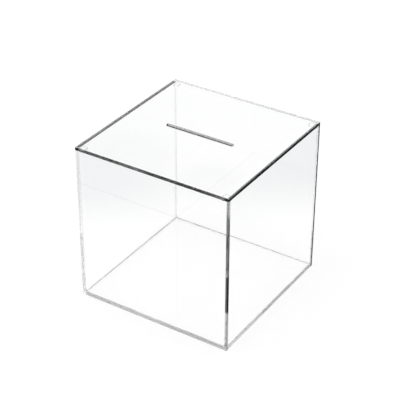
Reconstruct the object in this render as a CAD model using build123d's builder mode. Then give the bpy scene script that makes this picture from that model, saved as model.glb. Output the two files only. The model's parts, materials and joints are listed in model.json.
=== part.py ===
"""Clear acrylic ballot box: a bonded cube of flat sheet with a loose, slotted lid.

Millimetres. +Z is up, the front looks along -Y, and the slot runs along X. The origin is at the
centre of the footprint, on the surface that the box stands on.
"""

import os

from build123d import *

os.makedirs("parts", exist_ok=True)

# Outside of the closed box
box_width = 300.0  # along X, the way the slot runs
box_depth = 300.0  # along Y
box_height = 300.0  # from the table to the lid's upper face

# Acrylic sheet and its joints
wall_thickness = 5.0
base_thickness = 5.0
lid_thickness = 5.0
cement_film = 0.05  # the film of solvent cement in a bonded joint
polished_arris = 0.4  # the narrow bevel that polishing leaves on a free edge

# Loose lid
lid_seat_gap = 0.1  # air left where the lid lies on the polished tops of the walls
slot_length = 134.0  # over its round ends
slot_width = 6.0
slot_edge_break = 0.3  # bevel round both rims of the slot

# Locators bonded under the corners of the lid, which keep it from sliding off
locator_side = 10.0
locator_thickness = 5.0
locator_clearance = 0.5  # from each wall, so that the lid drops in freely
locator_corner_radius = 1.5
locator_lead_in = 1.0  # bevel round the lower rim

# Heights and runs that follow from the sizes above
lid_underside = box_height - lid_thickness
wall_height = lid_underside - lid_seat_gap
bonded_inset = wall_thickness + cement_film
side_run = box_depth - 2 * bonded_inset
base_width = box_width - 2 * bonded_inset
base_depth = box_depth - 2 * bonded_inset
locator_underside = lid_underside - cement_film - locator_thickness
locator_inset = wall_thickness + locator_clearance + locator_side / 2
locator_x = box_width / 2 - locator_inset
locator_y = box_depth / 2 - locator_inset


def inner_plane(turn, reach):
    """Plane on the inner face of the wall that looks out at this turn about Z, Z up in it."""
    outward = Vector(0, -1, 0).rotate(Axis.Z, turn)
    along = Vector(1, 0, 0).rotate(Axis.Z, turn)
    return Plane(origin=outward * (reach - wall_thickness), x_dir=along, z_dir=outward)


def finish(piece, name):
    """Label the piece and write it to its own file."""
    piece.part.label = name
    export_step(piece.part, f"parts/{name}.step")


# Base: it lies between the four walls, flush with their lower edges
with BuildPart() as base_panel:
    with BuildSketch(Plane.XY):
        Rectangle(base_width, base_depth)
    extrude(amount=base_thickness)
finish(base_panel, "base_panel")

# Front and back: they run the full width and cover the ends of the side walls
for name, turn in (("front_panel", 0), ("back_panel", 180)):
    plane = inner_plane(turn, box_depth / 2)
    with BuildPart() as panel:
        with BuildSketch(plane):
            Rectangle(box_width, wall_height, align=(Align.CENTER, Align.MIN))
        extrude(amount=wall_thickness)
        top_edges = panel.faces().sort_by(Axis.Z)[-1].edges()
        outer_edges = panel.faces().sort_by(Axis((0, 0, 0), plane.z_dir))[-1].edges()
        free_edges = panel.edges().filter_by(lambda edge: edge in top_edges + outer_edges)
        chamfer(free_edges, length=polished_arris)
    finish(panel, name)

# Left and right: they stand between the front and the back
for name, turn in (("right_panel", 90), ("left_panel", 270)):
    plane = inner_plane(turn, box_width / 2)
    with BuildPart() as panel:
        with BuildSketch(plane):
            Rectangle(side_run, wall_height, align=(Align.CENTER, Align.MIN))
        extrude(amount=wall_thickness)
        level_edges = panel.edges().filter_by(Axis.Y).group_by(Axis.Z)
        lower_outer_edge = level_edges[0].sort_by(Axis((0, 0, 0), plane.z_dir))[-1]
        chamfer(level_edges[-1] + [lower_outer_edge], length=polished_arris)
    finish(panel, name)

# Lid: one sheet, flush with the walls, with the slot cut through its middle
with BuildPart() as lid_panel:
    with BuildSketch(Plane.XY.offset(lid_underside)):
        Rectangle(box_width, box_depth)
        SlotOverall(slot_length, slot_width, mode=Mode.SUBTRACT)
    extrude(amount=lid_thickness)
    level_faces = lid_panel.faces().filter_by(Axis.Z)
    slot_rims = [edge for face in level_faces for edge in face.inner_wires()[0].edges()]
    corner_edges = lid_panel.edges().filter_by(Axis.Z).group_by(SortBy.DISTANCE)[-1]
    outline = [edge for face in level_faces for edge in face.outer_wire().edges()]
    chamfer(slot_rims, length=slot_edge_break)
    chamfer(outline + corner_edges, length=polished_arris)
finish(lid_panel, "lid_panel")

# Locators: one small pad under each corner of the lid
for name, side_x, side_y in (
    ("lid_locator_front_left", -1, -1),
    ("lid_locator_front_right", 1, -1),
    ("lid_locator_back_left", -1, 1),
    ("lid_locator_back_right", 1, 1),
):
    with BuildPart() as locator:
        with BuildSketch(Plane.XY.offset(locator_underside)):
            with Locations((side_x * locator_x, side_y * locator_y)):
                RectangleRounded(locator_side, locator_side, locator_corner_radius)
        extrude(amount=locator_thickness)
        chamfer(locator.faces().sort_by(Axis.Z)[0].edges(), length=locator_lead_in)
    finish(locator, name)
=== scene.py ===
"""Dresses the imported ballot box: clear sheet, a loose slotted lid, a pale studio and the camera."""

import json
import logging
import math
from dataclasses import dataclass
from enum import Enum
from typing import ClassVar, Mapping, Optional, Sequence, Tuple, Union

import bpy
from mathutils import Matrix, Vector


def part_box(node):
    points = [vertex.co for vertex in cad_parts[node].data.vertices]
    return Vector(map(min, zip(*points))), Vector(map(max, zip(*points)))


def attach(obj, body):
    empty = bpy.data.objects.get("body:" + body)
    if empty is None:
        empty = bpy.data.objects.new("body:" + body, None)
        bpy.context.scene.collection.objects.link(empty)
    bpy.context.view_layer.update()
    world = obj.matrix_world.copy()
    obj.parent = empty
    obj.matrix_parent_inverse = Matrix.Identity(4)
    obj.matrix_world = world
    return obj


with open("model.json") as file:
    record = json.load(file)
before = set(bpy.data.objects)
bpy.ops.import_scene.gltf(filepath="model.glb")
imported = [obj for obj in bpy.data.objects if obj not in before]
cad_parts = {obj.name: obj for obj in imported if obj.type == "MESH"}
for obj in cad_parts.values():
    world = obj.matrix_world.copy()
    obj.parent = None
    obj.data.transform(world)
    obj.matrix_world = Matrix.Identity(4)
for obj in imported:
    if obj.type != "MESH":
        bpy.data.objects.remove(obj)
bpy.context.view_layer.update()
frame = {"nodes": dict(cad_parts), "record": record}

MILLIMETRE = 0.001
WHITE = (1.0, 1.0, 1.0)
BLACK = (0.0, 0.0, 0.0)

log = logging.getLogger("ballot_box")

Colour = Tuple[float, float, float]
Operand = Union["Signal", float, int]
Tint = Union["Signal", Colour]
Profile = Tuple[Tuple[float, float], ...]
Inputs = Mapping[str, Union[float, int, bpy.types.Material]]


class SheetAxis(Enum):
    """The axis that a flat sheet faces along; the value is its place in a vector."""

    ACROSS = 0
    ALONG_DEPTH = 1
    UPRIGHT = 2


class Signal:
    """A shader socket that takes part in plain arithmetic.

    Args:
        graph: The graph that the socket belongs to.
        socket: The output socket that carries the value.
    """

    def __init__(self, graph: "Graph", socket: bpy.types.NodeSocket) -> None:
        self.graph = graph
        self.socket = socket

    def _math(self, operation: str, *values: Operand) -> "Signal":
        """Returns a Math node of this operation on the values."""
        return self.graph.node("ShaderNodeMath", {"operation": operation}, dict(enumerate(values)))

    def __add__(self, other: Operand) -> "Signal":
        """Returns self + other."""
        return self._math("ADD", self, other)

    def __radd__(self, other: Operand) -> "Signal":
        """Returns other + self."""
        return self._math("ADD", other, self)

    def __sub__(self, other: Operand) -> "Signal":
        """Returns self - other."""
        return self._math("SUBTRACT", self, other)

    def __rsub__(self, other: Operand) -> "Signal":
        """Returns other - self."""
        return self._math("SUBTRACT", other, self)

    def __mul__(self, other: Operand) -> "Signal":
        """Returns self * other."""
        return self._math("MULTIPLY", self, other)

    def __rmul__(self, other: Operand) -> "Signal":
        """Returns other * self."""
        return self._math("MULTIPLY", other, self)

    def __truediv__(self, other: Operand) -> "Signal":
        """Returns self / other."""
        return self._math("DIVIDE", self, other)

    def __gt__(self, other: Operand) -> "Signal":
        """Returns 1 where self is over other, and 0 elsewhere."""
        return self._math("GREATER_THAN", self, other)

    def __lt__(self, other: Operand) -> "Signal":
        """Returns 1 where self is under other, and 0 elsewhere."""
        return self._math("LESS_THAN", self, other)

    def __abs__(self) -> "Signal":
        """Returns the size of the value without its sign."""
        return self._math("ABSOLUTE", self)

    def at_least(self, other: Operand) -> "Signal":
        """Returns the larger of self and other."""
        return self._math("MAXIMUM", self, other)

    def at_most(self, other: Operand) -> "Signal":
        """Returns the smaller of self and other."""
        return self._math("MINIMUM", self, other)

    def power(self, exponent: float) -> "Signal":
        """Returns self raised to exponent."""
        return self._math("POWER", self, exponent)

    def ramp(self, low: Operand, high: Operand, start: Operand = 0.0, end: Operand = 1.0) -> "Signal":
        """Eases from start to end as self goes from low to high.

        Args:
            low: Value at which the result is start.
            high: Value at which the result is end.
            start: Result below low.
            end: Result above high.

        Returns:
            The eased value.
        """
        settings = {"interpolation_type": "SMOOTHSTEP"}
        sockets = {"Value": self, "From Min": low, "From Max": high, "To Min": start, "To Max": end}
        return self.graph.node("ShaderNodeMapRange", settings, sockets)


class Graph:
    """Builds the node tree of a material or a world.

    Args:
        tree: The tree to fill; what it holds is removed.
    """

    def __init__(self, tree: bpy.types.NodeTree) -> None:
        self.tree = tree
        tree.nodes.clear()

    def node(
        self,
        kind: str,
        settings: Optional[Mapping[str, object]] = None,
        sockets: Optional[Mapping[Union[str, int], object]] = None,
        output: Union[str, int] = 0,
    ) -> Signal:
        """Adds one node.

        Args:
            kind: Blender's type name of the node.
            settings: The node's own properties, set before its sockets.
            sockets: A value or a Signal for each input, by name or place.
            output: Name or place of the output to return.

        Returns:
            The output that was asked for.
        """
        made = self.tree.nodes.new(kind)
        for name, value in (settings or {}).items():
            if name == "stops":
                self._set_stops(made.color_ramp, value)
            else:
                setattr(made, name, value)
        for name, value in (sockets or {}).items():
            if isinstance(value, Signal):
                self.tree.links.new(value.socket, made.inputs[name])
            else:
                made.inputs[name].default_value = value
        return Signal(self, made.outputs[output]) if made.outputs else Signal(self, None)

    @staticmethod
    def _set_stops(ramp: bpy.types.ColorRamp, stops: Profile) -> None:
        """Gives a ramp its stops, each a place from 0 to 1 and a grey level."""
        while len(ramp.elements) < len(stops):
            ramp.elements.new(1.0)
        for element, (place, level) in zip(ramp.elements, stops):
            element.position = place
            element.color = (level, level, level, 1.0)

    def ray(self, *kinds: str) -> Signal:
        """Returns 1 for rays of any of these kinds, such as Camera or Shadow."""
        flags = [self.node("ShaderNodeLightPath", output=f"Is {kind} Ray") for kind in kinds]
        total = flags[0]
        for flag in flags[1:]:
            total = total.at_least(flag)
        return total

    def sibling(self, signal: Signal, output: Union[str, int]) -> Signal:
        """Returns another output of the node that a Signal comes from."""
        return Signal(self, signal.socket.node.outputs[output])

    def split(self, vector: Signal) -> Tuple[Signal, Signal, Signal]:
        """Returns the three components of a vector."""
        first = self.node("ShaderNodeSeparateXYZ", sockets={0: vector})
        return first, self.sibling(first, 1), self.sibling(first, 2)

    def place(self) -> Tuple[Signal, Signal, Signal]:
        """Returns x, y and z of the point on the surface, in the part's own frame."""
        return self.split(self.node("ShaderNodeTexCoord", output="Object"))

    def facing(self) -> Tuple[Signal, Signal, Signal]:
        """Returns the three parts of the way that the surface faces, towards the side it is seen from."""
        return self.split(self.node("ShaderNodeTexCoord", output="Normal"))

    def inside(self) -> Signal:
        """Returns 1 where light meets the surface from inside the sheet, and 0 from outside."""
        return self.node("ShaderNodeNewGeometry", output="Backfacing")

    def profile(self, signal: Signal, stops: Profile) -> Signal:
        """Returns the level that the stops give as the signal goes from 0 to 1."""
        return self.node("ShaderNodeValToRGB", {"stops": stops}, {0: signal})

    def blend(self, share: Operand, first: Tint, second: Tint) -> Signal:
        """Returns first where share is 0 and second where it is 1."""
        # The colour inputs are at places 6 and 7 of the node, and the colour output at place 2
        sockets = {0: share, 6: full_colour(first), 7: full_colour(second)}
        return self.node("ShaderNodeMix", {"data_type": "RGBA"}, sockets, output=2)


def full_colour(tint: Tint) -> Union[Signal, Tuple[float, float, float, float]]:
    """Returns a colour with its fourth value, and a Signal as it is."""
    return tint if isinstance(tint, Signal) else (*tint, 1.0)


def new_graph(block: Union[bpy.types.Material, bpy.types.World]) -> Graph:
    """Returns an empty graph for a material or a world."""
    block.use_nodes = True
    return Graph(block.node_tree)


@dataclass(frozen=True)
class Pattern:
    """Random marks on a surface: their number per metre along each axis, and how they start and end."""

    marks: Tuple[float, float, float]
    detail: float
    seed: float
    edges: Optional[Tuple[float, float]] = None

    def on(self, graph: Graph) -> Signal:
        """Draws the pattern.

        Args:
            graph: The graph to build in.

        Returns:
            0 between the marks and 1 on them, or the plain noise where there are no edges.
        """
        point = graph.node("ShaderNodeTexCoord", output="Object")
        sockets = {"Vector": point, "Scale": self.marks, "Location": (self.seed,) * 3}
        mapped = graph.node("ShaderNodeMapping", sockets=sockets)
        noise = graph.node(
            "ShaderNodeTexNoise", sockets={"Vector": mapped, "Scale": 1.0, "Detail": self.detail}
        )
        return noise.ramp(*self.edges) if self.edges else noise


@dataclass(frozen=True)
class Relief:
    """Fine unevenness of a surface: how strong it is, and its depth in metres."""

    strength: float
    depth: float

    def normal(self, graph: Graph, height: Signal) -> Signal:
        """Returns the surface direction that this height from 0 to 1 gives."""
        sockets = {"Strength": self.strength, "Distance": self.depth, "Height": height}
        return graph.node("ShaderNodeBump", sockets=sockets)


@dataclass(frozen=True)
class BoxSizes:
    """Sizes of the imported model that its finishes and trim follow, in metres."""

    half_width: float
    half_depth: float
    wall: float
    base: float
    wall_top: float
    lid_under: float
    locator_low: Vector
    locator_high: Vector
    slot: Tuple[float, float]  # half the length and half the width of the way through the slot

    @classmethod
    def from_frame(cls) -> "BoxSizes":
        """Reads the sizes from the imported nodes."""
        front_low, front_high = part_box("front_panel")
        lid_low, lid_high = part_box("lid_panel")
        locator_low, locator_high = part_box("lid_locator_back_right")
        openings = {row["name"]: row["box_m"] for row in frame["record"]["physics"]["openings"]}
        return cls(
            half_width=lid_high.x,
            half_depth=lid_high.y,
            wall=front_high.y - front_low.y,
            base=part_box("base_panel")[1].z,
            wall_top=front_high.z,
            lid_under=lid_low.z,
            locator_low=locator_low,
            locator_high=locator_high,
            slot=tuple(openings["paper_slot"][1][:2]),
        )


@dataclass(frozen=True)
class PaintedEdgeShade:
    """Painted shade on the cut edges of a sheet: 0 is clear, and 1 or more is dark."""

    # Painted shade on the edges, by the way they face
    right: float = 0.0
    left: float = 0.0
    front_and_back: float = 0.0
    slot_front: float = 0.0
    slot_back: float = 0.0
    top: float = 0.0

    # Share of the slot's front cut that is painted as matt black shade where it is seen through the sheet
    slot_painted_shade: float = 0.0

    # Painted shade that the two front corners add to the edges that meet there
    front_corner_shade: float = 0.0

    # How much of the edge still shows in a cemented joint, whose near-black tone is painted shade
    corner_joint: float = 0.0
    foot_joint: float = 0.0

    # Level of the painted shade on the side edges and joints from the bottom of the wall, 0, to its top,
    # 1
    shade_up_the_corner: Profile = ((0.0, 1.0), (1.0, 1.0))


@dataclass(frozen=True)
class ClearAcrylic:
    """Clear cast acrylic sheet with polished edges, and painted shade on its edges and joints."""

    sizes: BoxSizes
    refraction: float = 1.49
    face_tint: Colour = WHITE
    # Near-black colour of the painted shade on the edges, and the share of that shade that is a matt
    # black cover
    painted_edge_tint: Colour = (0.001, 0.0012, 0.0013)
    painted_edge_matt: float = 0.6  # share of a dark edge that is matt
    edge_roughness: float = 0.03
    streaks: Pattern = Pattern((90.0, 90.0, 90.0), 3.0, 2.0)
    streak_roughness: float = 0.06
    streak_relief: Relief = Relief(0.25, 0.4 * MILLIMETRE)
    smears: Pattern = Pattern((14.0, 9.0, 11.0), 4.0, 7.0, (0.62, 0.78))
    smear_roughness: float = 0.03
    # Saw marks break up the painted edge shade at random
    saw_marks: Pattern = Pattern((260.0, 260.0, 260.0), 2.0, 2.0, (0.35, 0.65))
    saw_depth: float = 0.25
    # Painted shade of a corner joint
    joint_shade: float = 1.3  # over 1, so that the saw marks leave a corner joint dark
    # Reach of the painted shade at the two front corners
    corner_reach: Tuple[float, float] = (10.0 * MILLIMETRE, 3.0 * MILLIMETRE)
    slot_reach: float = 2.0  # cuts nearer to the middle than this many half widths are the slot's
    arris_facing: float = 0.6  # an edge bevel faces less this way than a flat edge does
    flat_facing: float = 0.95
    film_band: float = 0.12 * MILLIMETRE  # faces this near to a joint's middle lie in the joint
    shadow_share: float = 0.3

    def joints(self, graph: Graph) -> Tuple[Signal, Signal, Signal]:
        """Marks the faces that lie in a cemented joint, where light passes as if through one sheet.

        Args:
            graph: The graph to build in.

        Returns:
            1 in an upright corner joint and 0 elsewhere, the same for the joints round the base, and
            the same for the pads under the lid.
        """
        sizes = self.sizes
        x, y, z = graph.place()
        far_x, far_y = abs(x), abs(y)
        inner_x = sizes.half_width - sizes.wall
        inner_y = sizes.half_depth - sizes.wall
        on_front = abs(far_y - inner_y) < self.film_band
        on_side = (abs(far_x - inner_x) < self.film_band) * (far_y < inner_y)
        corner = on_front * (far_x > inner_x)
        foot = on_front.at_least(on_side) * (z < sizes.base) * (z > 0.0) * (1 - corner)
        middle = (sizes.locator_low + sizes.locator_high) / 2
        reach = (sizes.locator_high - sizes.locator_low) / 2
        over_pad = (abs(far_x - middle.x) < reach.x) * (abs(far_y - middle.y) < reach.y)
        pad = over_pad * (abs(z - sizes.lid_under) < self.film_band)
        return corner, foot, pad

    def front_corner(self, x: Signal, y: Signal) -> Signal:
        """Returns where painted shade is added at the box's two front corners: 1 there, fading to 0 along
        the edges that meet there.
        """
        begins, full = self.corner_reach
        across = abs(x).ramp(self.sizes.half_width - begins, self.sizes.half_width - full)
        ahead = (y * -1).ramp(self.sizes.half_depth - begins, self.sizes.half_depth - full)
        return across * ahead

    def wear(self, graph: Graph) -> Operand:
        """Returns the roughness that handling adds to the faces: none on the walls and the base."""
        return 0.0

    def painted_edge_shade(self, graph: Graph, edge_shade: PaintedEdgeShade, height: Signal) -> Tuple[Signal, Signal]:
        """Paints shade on the cut edges by the way they face.

        Args:
            graph: The graph to build in.
            edge_shade: How dark the painted shade on the edges is.
            height: Level of the painted shade on the side edges at this height.

        Returns:
            How dark the painted edge shade is, 0 on the faces, and 1 on the slot's front cut and 0
            elsewhere.
        """
        outward = 1 - 2 * graph.inside()
        across, ahead, up = graph.facing()
        x, y, _ = graph.place()
        in_slot = abs(y) < self.slot_reach * self.sizes.slot[1]
        in_front = in_slot * (y < 0.0)
        slot_front = abs(ahead) * in_front
        tones = (
            (across * outward, height * edge_shade.right),
            (across * outward * -1, height * edge_shade.left),
            (abs(ahead) * (1 - in_slot), edge_shade.front_and_back),
            (slot_front, edge_shade.slot_front),
            (abs(ahead) * (in_slot - in_front), edge_shade.slot_back),
            (up * outward, edge_shade.top),
        )
        shade = sum(facing.ramp(self.arris_facing, self.flat_facing) * tone for facing, tone in tones)
        return shade * (1 + self.front_corner(x, y) * edge_shade.front_corner_shade), slot_front

    def material(self, name: str, axis: SheetAxis, edge_shade: PaintedEdgeShade) -> bpy.types.Material:
        """Builds the finish, with painted shade on its edges, for sheets that face along one axis.

        Args:
            name: Name of the finish.
            axis: The axis across the sheet.
            edge_shade: How dark the painted shade on its edges is.

        Returns:
            The material.
        """
        made = bpy.data.materials.new(name)
        graph = new_graph(made)
        edge = 1 - abs(graph.facing()[axis.value])
        height = graph.profile(graph.place()[2] / self.sizes.wall_top, edge_shade.shade_up_the_corner)
        shade, slot_front = self.painted_edge_shade(graph, edge_shade, height)
        # Saw marks break up the painted edge shade
        marks = 1 - self.saw_depth + self.saw_marks.on(graph) * self.saw_depth
        corner, foot, pad = self.joints(graph)
        clear = corner * (1 - height * edge_shade.corner_joint) + foot * (1 - edge_shade.foot_joint) + pad
        free = (1 - corner.at_least(foot)) * (1 - graph.inside())
        # A matt black cover paints part of the edge shade, and paints the slot's front cut dark where it
        # is seen through the sheet
        matt = (shade * marks * self.painted_edge_matt).at_most(1.0) * free
        matt = matt.at_least(slot_front * graph.ray("Transmission") * edge_shade.slot_painted_shade)
        # Edges and joints painted near black as shade; the joints are real, their depth of tone is
        # painted
        shade = shade.at_least((corner * self.joint_shade).at_least(foot) * height) * marks
        streaks = self.streaks.on(graph)
        on_edges = self.edge_roughness + streaks * self.streak_roughness
        on_faces = self.smears.on(graph) * self.smear_roughness + self.wear(graph)
        # Matt black cover of the painted edge shade
        cut = graph.node("ShaderNodeBsdfDiffuse", sockets={"Color": full_colour(self.painted_edge_tint)})
        clear_surface(
            graph,
            self.shadow_share,
            {
                "Base Color": graph.blend(shade, self.face_tint, self.painted_edge_tint),
                "Roughness": edge * on_edges + (1 - edge) * on_faces,
                "IOR": self.refraction,
                "Transmission Weight": 1.0,
                "Alpha": 1 - clear,
                "Normal": self.streak_relief.normal(graph, edge * streaks),
            },
            over=(matt, cut),
        )
        return made


@dataclass(frozen=True)
class LidAcrylic(ClearAcrylic):
    """The lid's sheet, whose faces have fine hairlines where paper is pushed into the slot."""

    hairlines: Tuple[Pattern, ...] = (
        Pattern((30.0, 700.0, 30.0), 3.0, 4.0, (0.56, 0.66)),
        Pattern((700.0, 60.0, 30.0), 3.0, 6.0, (0.6, 0.7)),
    )
    hairline_roughness: float = 0.12
    hairline_reach: float = 14.0 * MILLIMETRE

    def wear(self, graph: Graph) -> Operand:
        """Returns the roughness of the hairlines, which thin out away from the slot."""
        x, y, _ = graph.place()
        beside, ahead = ((abs(far) - edge).at_least(0.0) for far, edge in zip((x, y), self.sizes.slot))
        reach = (beside * beside + ahead * ahead).power(0.5).ramp(0.0, self.hairline_reach, 1.0, 0.0)
        lines = self.hairlines[0].on(graph).at_least(self.hairlines[1].on(graph))
        return lines * reach * self.hairline_roughness


def clear_surface(
    graph: Graph,
    shadow_share: float,
    sockets: Mapping[str, object],
    over: Optional[Tuple[Signal, Signal]] = None,
) -> None:
    """Ends a graph in a clear surface that lets lamp light straight through.

    Args:
        graph: The graph of the finish.
        shadow_share: Share of the mirrored light that is missing from the shadow.
        sockets: Values and links of the Principled shader.
        over: Share and shader of a painted dark cover, standing for shade, over the clear surface in
            places.
    """
    glass = graph.node("ShaderNodeBsdfPrincipled", sockets=sockets)
    if over:
        glass = graph.node("ShaderNodeMixShader", sockets={0: over[0], 1: glass, 2: over[1]})
    mirrored = graph.node("ShaderNodeFresnel", sockets={"IOR": sockets["IOR"]})
    lost = mirrored * (1 - graph.inside()) * shadow_share
    passed, stopped = (
        graph.node("ShaderNodeBsdfTransparent", sockets={"Color": full_colour(tint)})
        for tint in (WHITE, BLACK)
    )
    lamp_light = graph.node("ShaderNodeMixShader", sockets={0: lost, 1: passed, 2: stopped})
    surface = graph.node(
        "ShaderNodeMixShader", sockets={0: graph.ray("Shadow", "Diffuse"), 1: glass, 2: lamp_light}
    )
    graph.node("ShaderNodeOutputMaterial", sockets={"Surface": surface})


@dataclass(frozen=True)
class SolventCement:
    """Set solvent cement: clear, with ripples and fine bubbles."""

    refraction: float = 1.46
    tint: Colour = (0.8, 0.82, 0.83)
    bubble_tint: Colour = (0.24, 0.25, 0.26)
    foot: Tuple[float, float] = (7.0 * MILLIMETRE, 14.0 * MILLIMETRE)  # bubbles fade out between
    roughness: float = 0.12
    bubbles: Pattern = Pattern((70.0, 70.0, 70.0), 2.0, 5.0, (0.15, 0.5))
    ripples: Pattern = Pattern((900.0, 900.0, 900.0), 2.0, 9.0)
    relief: Relief = Relief(0.4, 0.1 * MILLIMETRE)
    shadow_share: float = 0.3

    def material(self) -> bpy.types.Material:
        """Builds the finish."""
        made = bpy.data.materials.new("solvent_cement")
        graph = new_graph(made)
        low = graph.place()[2].ramp(*self.foot, 1.0, 0.0)
        bubbles = self.bubbles.on(graph) * low
        clear_surface(
            graph,
            self.shadow_share,
            {
                "Base Color": graph.blend(bubbles, self.tint, self.bubble_tint),
                "Roughness": self.roughness + bubbles * self.roughness,
                "IOR": self.refraction,
                "Transmission Weight": 1.0,
                "Normal": self.relief.normal(graph, self.ripples.on(graph)),
            },
        )
        return made


def dress(nodes: Sequence[str], material: bpy.types.Material) -> None:
    """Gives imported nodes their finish.

    Args:
        nodes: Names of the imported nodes.
        material: The finish.
    """
    for name in nodes:
        piece = frame["nodes"][name]
        piece.data.materials.clear()
        piece.data.materials.append(material)
        log.info("%s: %s", name, material.name)


def group_inputs(tree: bpy.types.NodeTree, sizes: Inputs) -> Signal:
    """Gives a Geometry Nodes tree its geometry sockets and a named input for each size.

    Args:
        tree: The tree, already empty.
        sizes: Name and value of each input; the value sets the socket's type.

    Returns:
        The output of the Group Input node that carries the geometry.
    """
    kinds = {float: "NodeSocketFloat", int: "NodeSocketInt", bpy.types.Material: "NodeSocketMaterial"}
    tree.interface.new_socket("Geometry", in_out="INPUT", socket_type="NodeSocketGeometry")
    tree.interface.new_socket("Geometry", in_out="OUTPUT", socket_type="NodeSocketGeometry")
    for name, value in sizes.items():
        tree.interface.new_socket(name, in_out="INPUT", socket_type=kinds[type(value)])
    return Graph(tree).node("NodeGroupInput", output="Geometry")


def grow(
    name: str, start: bpy.types.Mesh, tree: bpy.types.NodeTree, sizes: Inputs
) -> bpy.types.Object:
    """Runs a Geometry Nodes tree on a mesh and keeps the result as a plain mesh.

    Args:
        name: Name of the finished piece.
        start: The mesh that the tree starts from.
        tree: The tree.
        sizes: Value of each named input.

    Returns:
        The finished piece, with no modifier left on it.
    """
    seed = bpy.data.objects.new(f"{name}_start", start)
    bpy.context.scene.collection.objects.link(seed)
    growth = seed.modifiers.new("growth", "NODES")
    growth.node_group = tree
    sockets = {item.name: item for item in tree.interface.items_tree if item.in_out == "INPUT"}
    for label, value in sizes.items():
        growth[sockets[label].identifier] = value
    settled = seed.evaluated_get(bpy.context.evaluated_depsgraph_get())
    grown = bpy.data.meshes.new_from_object(settled)
    grown.name = name
    seed.modifiers.remove(growth)
    bpy.data.objects.remove(seed)
    piece = bpy.data.objects.new(name, grown)
    bpy.context.scene.collection.objects.link(piece)
    return piece


@dataclass(frozen=True)
class CementBead:
    """The fine bead of cement that is squeezed out along the inner seams."""

    sizes: BoxSizes
    finish: SolventCement
    radius: float = 0.6 * MILLIMETRE
    from_corners: float = 2.4 * MILLIMETRE  # where the beads round the base stop
    thinnest: float = 0.65  # share of the radius left between two lumps
    lump_levels: Tuple[float, float] = (0.35, 0.65)
    lumps: float = 45.0
    lump_detail: float = 3.0
    up_corners: float = 0.6  # share of the radius above the foot of a corner
    clearance: float = 0.03 * MILLIMETRE
    below_pads: float = 1.5 * MILLIMETRE
    corner_levels: Tuple[float, float] = (6.0 * MILLIMETRE, 12.0 * MILLIMETRE)
    step: float = 2.5 * MILLIMETRE
    ring_points: int = 10
    seed: float = 3.0

    def seams(self) -> bpy.types.Mesh:
        """Draws the inner seams: four round the base and one up each corner."""
        sizes = self.sizes
        x = sizes.half_width - sizes.wall - self.clearance
        y = sizes.half_depth - sizes.wall - self.clearance
        z = sizes.base + self.clearance
        top = sizes.locator_low.z - self.below_pads
        foot = z + self.radius
        short_x, short_y = (far - self.from_corners for far in (x, y))
        points, lines = [], []
        for side in (-1, 1):
            for run in (
                ((-short_x, side * y, z), (short_x, side * y, z)),
                ((side * x, -short_y, z), (side * x, short_y, z)),
                ((side * x, -y, foot), (side * x, -y, top)),
                ((side * x, y, foot), (side * x, y, top)),
            ):
                lines.append((len(points), len(points) + 1))
                points.extend(run)
        mesh = bpy.data.meshes.new("cement_seams")
        mesh.from_pydata(points, lines, [])
        return mesh

    def tree(self, inputs: Inputs) -> bpy.types.NodeTree:
        """Builds the nodes that lay a lumpy bead in the corner beside each seam.

        Args:
            inputs: The named inputs.

        Returns:
            The tree.
        """
        tree = bpy.data.node_groups.new("cement_bead", "GeometryNodeTree")
        start = group_inputs(tree, inputs)
        graph = start.graph
        given = {name: graph.sibling(start, name) for name in inputs}
        line = graph.node("GeometryNodeMeshToCurve", sockets={"Mesh": start})
        line = graph.node(
            "GeometryNodeResampleCurve", {"mode": "LENGTH"}, {"Curve": line, "Length": given["Step"]}
        )
        x, y, z = graph.split(graph.node("GeometryNodeInputPosition"))
        lumps = graph.node(
            "ShaderNodeTexNoise",
            {"noise_dimensions": "4D"},
            {"W": given["Seed"], "Scale": given["Lumps"], "Detail": self.lump_detail},
        )
        thickness = lumps.ramp(*self.lump_levels, given["Thinnest"], 1.0)
        thickness = thickness * z.ramp(*self.corner_levels, 1.0, given["Up Corners"])
        thick = thickness * given["Radius"]
        off_walls = {
            place: ((far < -1 * given[wall]) - (far > given[wall])) * thick
            for place, (far, wall) in enumerate(((x, "Half Width"), (y, "Half Depth")))
        }
        off_base = (z < given["Base Top"]) * thick
        shift = graph.node("ShaderNodeCombineXYZ", sockets={**off_walls, 2: off_base})
        line = graph.node("GeometryNodeSetPosition", sockets={"Geometry": line, "Offset": shift})
        ring = graph.node(
            "GeometryNodeCurvePrimitiveCircle",
            {"mode": "RADIUS"},
            {"Resolution": given["Ring Points"], "Radius": given["Radius"]},
        )
        bead = graph.node(
            "GeometryNodeCurveToMesh",
            sockets={"Curve": line, "Profile Curve": ring, "Scale": thickness, "Fill Caps": True},
        )
        bead = graph.node("GeometryNodeSetShadeSmooth", sockets={"Geometry": bead})
        bead = graph.node("GeometryNodeRealizeInstances", sockets={"Geometry": bead})
        bead = graph.node(
            "GeometryNodeSetMaterial", sockets={"Geometry": bead, "Material": given["Finish"]}
        )
        graph.node("NodeGroupOutput", sockets={"Geometry": bead})
        return tree

    def build(self) -> None:
        """Makes the beads and puts them on the box."""
        sizes = self.sizes
        inputs = {
            "Radius": self.radius,
            "Thinnest": self.thinnest,
            "Up Corners": self.up_corners,
            "Step": self.step,
            "Ring Points": self.ring_points,
            "Lumps": self.lumps,
            "Seed": self.seed,
            "Half Width": sizes.half_width - sizes.wall - 2 * self.clearance,
            "Half Depth": sizes.half_depth - sizes.wall - 2 * self.clearance,
            "Base Top": sizes.base + 2 * self.clearance,
            "Finish": self.finish.material(),
        }
        beads = grow("cement_beads", self.seams(), self.tree(inputs), inputs)
        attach(beads, "box")
        log.info("%s: %d faces", beads.name, len(beads.data.polygons))


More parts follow.
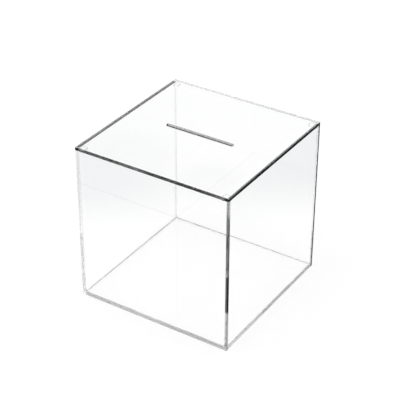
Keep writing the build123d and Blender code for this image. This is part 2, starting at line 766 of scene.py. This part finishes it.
@dataclass
class BondedBox:
    """The base and the four walls."""

    finish: ClearAcrylic

    # Painted shade up the corner: pale at the foot and the top, and darkest in the lower half
    corner_shade_profile: ClassVar[Profile] = (
        (0.0, 0.38), (0.25, 0.45), (0.28, 1.2), (0.49, 1.35), (0.51, 0.75), (0.86, 0.76), (0.92, 0.33)
    )
    # Painted shade on each wall's edges and joints, darker on the right edges than the left
    front_wall: PaintedEdgeShade = PaintedEdgeShade(
        right=1.3, left=0.1, top=0.5, foot_joint=0.25, shade_up_the_corner=corner_shade_profile
    )
    back_wall: PaintedEdgeShade = PaintedEdgeShade(right=1.1, left=0.3, foot_joint=0.18)
    left_wall: PaintedEdgeShade = PaintedEdgeShade(top=1.3, foot_joint=0.42)
    right_wall: PaintedEdgeShade = PaintedEdgeShade(top=1.05, corner_joint=1.0, shade_up_the_corner=corner_shade_profile)
    base: PaintedEdgeShade = PaintedEdgeShade(foot_joint=0.14)

    def build(self) -> None:
        """Dresses the panels."""
        for node, name, axis, edge_shade in (
            ("front_panel", "acrylic_front_wall", SheetAxis.ALONG_DEPTH, self.front_wall),
            ("back_panel", "acrylic_back_wall", SheetAxis.ALONG_DEPTH, self.back_wall),
            ("left_panel", "acrylic_left_wall", SheetAxis.ACROSS, self.left_wall),
            ("right_panel", "acrylic_right_wall", SheetAxis.ACROSS, self.right_wall),
            ("base_panel", "acrylic_base", SheetAxis.UPRIGHT, self.base),
        ):
            dress((node,), self.finish.material(name, axis, edge_shade))


@dataclass
class LooseLid:
    """The slotted lid and its locators."""

    finish: LidAcrylic
    # Painted shade on the lid's edges, its slot and its front corners, darker on the right than the left
    rim: PaintedEdgeShade = PaintedEdgeShade(
        right=1.3,
        left=1.0,
        front_and_back=0.91,
        slot_front=1.2,
        slot_back=0.2,
        slot_painted_shade=1.0,
        front_corner_shade=0.6,
    )

    def build(self) -> None:
        """Dresses the lid and its locators."""
        dress(("lid_panel",), self.finish.material("acrylic_lid", SheetAxis.UPRIGHT, self.rim))
        locators = [name for name in frame["nodes"] if name.startswith("lid_locator")]
        dress(locators, self.finish.material("acrylic_locator", SheetAxis.UPRIGHT, PaintedEdgeShade()))


@dataclass(frozen=True)
class Lamp:
    """A square soft lamp that looks at the box."""

    name: str
    place: Tuple[float, float, float]
    side: float
    power: float

    def build(self, target: Vector) -> None:
        """Hangs the lamp and turns it to the target."""
        data = bpy.data.lights.new(self.name, "AREA")
        data.shape, data.size, data.energy = "SQUARE", self.side, self.power
        lamp = bpy.data.objects.new(self.name, data)
        bpy.context.scene.collection.objects.link(lamp)
        lamp.location = self.place
        lamp.rotation_euler = (target - lamp.location).to_track_quat("-Z", "Y").to_euler()


@dataclass(frozen=True)
class Slope:
    """How a level eases from start to end as a measure, mostly a distance, goes from near to far."""

    near: float
    far: float
    start: float
    end: float

    def along(self, measure: Signal) -> Signal:
        """Returns the level at this value of the measure."""
        return measure.ramp(self.near, self.far, self.start, self.end)


@dataclass(frozen=True)
class Shade:
    """A soft round painted shade on the floor, seen only in the sheet: its middle, and how it fades away
    from there.
    """

    middle: Tuple[float, float]
    fade: Slope

    def at(self, x: Signal, y: Signal) -> Signal:
        """Returns the depth of the painted shade at this place."""
        aside, behind = x - self.middle[0], y - self.middle[1]
        return self.fade.along((aside * aside + behind * behind).power(0.5))


@dataclass(frozen=True)
class Studio:
    """White floor with painted grey and painted shades that only the sheet shows, soft lamps and the
    surroundings that the sheet mirrors.
    """

    floor_reach: float = 20.0
    floor_drop: float = 0.4 * MILLIMETRE
    floor_colour: Colour = (0.8, 0.8, 0.8)

    # Light that the floor gives of its own: to the eye, by the distance from the box, and in the sheet
    lift: Slope = Slope(near=0.2, far=0.8, start=0.2, end=0.3)
    lift_in_sheet: float = 0.225

    # Painted grey on the floor that only the sheet's reflections show, by the distance from the box, and
    # how much of it is mirrored in front of the box, from left to right
    grey: Colour = (0.04, 0.1, 0.16)
    mirrored: Slope = Slope(near=0.34, far=0.56, start=0.0, end=0.85)
    in_front: Slope = Slope(near=-0.35, far=-0.1, start=1.0, end=0.0)
    mirrored_in_front: Slope = Slope(near=-0.3, far=-0.1, start=1.15, end=0.4)

    # The same painted grey where the floor is seen straight through the sheet, and painted round shades
    # there
    through: Slope = Slope(near=0.25, far=0.45, start=0.0, end=0.03)
    shades: Tuple[Shade, ...] = (
        Shade((-0.38, 0.22), Slope(near=0.04, far=0.22, start=0.05, end=0.0)),
        Shade((-0.48, 0.42), Slope(near=0.05, far=0.22, start=0.02, end=0.0)),
        Shade((-0.17, 0.3), Slope(near=0.03, far=0.1, start=0.06, end=0.0)),
    )

    # A painted shade that shows only where an inner wall mirrors it. Straight through the box, light
    # meets the floor after fewer turns than this
    mirrored_shade: Shade = Shade((0.05, 0.22), Slope(near=0.12, far=0.22, start=0.15, end=0.0))
    straight_through: float = 4.5

    # Light of the surroundings, and the dark that the sheet shows of them: from some height up, and
    # not beyond the box, where a white card stands
    day: float = 0.9
    dark: float = 0.1
    dark_above: Slope = Slope(near=0.2, far=0.42, start=0.0, end=1.0)
    beyond: Tuple[float, float, float] = (-0.534, 0.845, 0.0)
    card: Slope = Slope(near=-0.7, far=0.45, start=0.0, end=1.0)

    light_depth: int = 48  # surfaces that light may meet on its way through the sheets
    lamps: Tuple[Lamp, ...] = (
        Lamp("overhead_softbox", (-0.5, -0.6, 1.9), 1.5, 5.0),
        Lamp("side_softbox", (1.7, -0.9, 1.2), 1.2, 2.0),
    )

    def light(self, target: Vector) -> None:
        """Hangs the soft lamps."""
        for lamp in self.lamps:
            lamp.build(target)

    def floor(self) -> None:
        """Makes the floor: pure white to the eye, with the soft shadow of the box on it, and painted grey
        and shades that only the sheet shows.
        """
        reach = self.floor_reach
        mesh = bpy.data.meshes.new("studio_floor")
        corners = [(-reach, -reach), (reach, -reach), (reach, reach), (-reach, reach)]
        mesh.from_pydata([(x, y, -self.floor_drop) for x, y in corners], [], [(0, 1, 2, 3)])
        plane = bpy.data.objects.new("studio_floor", mesh)
        bpy.context.scene.collection.objects.link(plane)
        paint = bpy.data.materials.new("studio_floor")
        mesh.materials.append(paint)
        graph = new_graph(paint)
        x, y, _ = graph.place()
        away = (x * x + y * y).power(0.5)
        matt = graph.node("ShaderNodeBsdfDiffuse", sockets={"Color": full_colour(self.floor_colour)})
        in_sheet = graph.ray("Glossy", "Transmission")
        lift = graph.ray("Camera") * self.lift.along(away) + in_sheet * self.lift_in_sheet
        lifted = graph.node("ShaderNodeEmission", sockets={"Strength": lift})
        white = graph.node("ShaderNodeAddShader", sockets={0: matt, 1: lifted})
        refracted = graph.ray("Transmission")
        reflected = graph.ray("Glossy") * (1 - refracted)
        mirrored = self.mirrored.along(away)
        mirrored = mirrored * (1 + self.in_front.along(y) * (self.mirrored_in_front.along(x) - 1))
        # Painted shades and painted grey, seen only by reflected and refracted rays
        shade = sum(spot.at(x, y) for spot in self.shades)
        inside = graph.node("ShaderNodeLightPath", output="Ray Depth") > self.straight_through
        shade = shade + inside * self.mirrored_shade.at(x, y)
        share = reflected * mirrored + refracted * (self.through.along(away) + shade)
        grey = graph.node("ShaderNodeEmission", sockets={"Color": full_colour(self.grey)})
        seen = graph.node("ShaderNodeMixShader", sockets={0: share, 1: white, 2: grey})
        graph.node("ShaderNodeOutputMaterial", sockets={"Surface": seen})

    def surroundings(self) -> None:
        """Makes the world: white to the eye, and in the sheet white beyond the box and dark elsewhere."""
        world = bpy.data.worlds.new("studio")
        bpy.context.scene.world = world
        graph = new_graph(world)
        direction = graph.node("ShaderNodeTexCoord", output="Generated")
        height = graph.split(direction)[2]
        sockets = {0: direction, 1: self.beyond}
        beyond = graph.node("ShaderNodeVectorMath", {"operation": "DOT_PRODUCT"}, sockets, output="Value")
        shut = self.dark_above.along(height) * (1 - self.card.along(beyond))
        mirrored = 1 - shut * (1 - self.dark)
        in_sheet = graph.ray("Glossy", "Transmission")
        seen = graph.ray("Camera")
        strength = mirrored * in_sheet + seen + (1 - in_sheet - seen) * self.day
        sockets = {"Color": full_colour(WHITE), "Strength": strength}
        light = graph.node("ShaderNodeBackground", sockets=sockets)
        graph.node("ShaderNodeOutputWorld", sockets={"Surface": light})

    def set_light_paths(self) -> None:
        """Lets light travel along inside the sheets."""
        cycles = bpy.context.scene.cycles
        cycles.max_bounces = self.light_depth
        cycles.glossy_bounces = self.light_depth
        cycles.transmission_bounces = self.light_depth
        cycles.transparent_max_bounces = self.light_depth


@dataclass(frozen=True)
class PhotoCamera:
    """The camera at the photograph's angle."""

    azimuth: float = math.radians(32.65)
    elevation: float = math.radians(32.05)
    roll: float = math.radians(0.19)
    distance: float = 7.465
    aside: float = 0.0027
    above: float = 0.054
    lens: float = 115.13
    sensor: float = 36.0

    def build(self, side: float) -> None:
        """Places the camera.

        Args:
            side: Side of the box, the unit of the distances above.
        """
        back = Vector((
            math.sin(self.azimuth) * math.cos(self.elevation),
            -math.cos(self.azimuth) * math.cos(self.elevation),
            math.sin(self.elevation),
        ))
        level = Vector((math.cos(self.azimuth), math.sin(self.azimuth), 0.0))
        right = level * math.cos(self.roll) + back.cross(level) * math.sin(self.roll)
        up = back.cross(right)
        middle = Vector((0.0, 0.0, side / 2))
        spot = middle + side * (back * self.distance + right * self.aside + up * self.above)
        data = bpy.data.cameras.new("photo_camera")
        data.lens, data.sensor_width = self.lens, self.sensor
        camera = bpy.data.objects.new("photo_camera", data)
        bpy.context.scene.collection.objects.link(camera)
        turned = Matrix((right, up, back)).transposed().to_4x4()
        camera.matrix_world = Matrix.Translation(spot) @ turned
        bpy.context.scene.camera = camera


def main() -> None:
    """Builds the dressed part and its studio."""
    logging.basicConfig(level=logging.INFO, format="%(message)s")
    sizes = BoxSizes.from_frame()
    finish = ClearAcrylic(sizes)
    BondedBox(finish).build()
    CementBead(sizes, SolventCement()).build()
    LooseLid(LidAcrylic(sizes)).build()
    studio = Studio()
    studio.floor()
    studio.surroundings()
    middle = Vector((0.0, 0.0, sizes.wall_top / 2))
    studio.light(middle)
    studio.set_light_paths()
    PhotoCamera().build(2 * sizes.half_width)
    bpy.context.scene.view_settings.view_transform = "Standard"


if __name__ == "__main__":
    main()
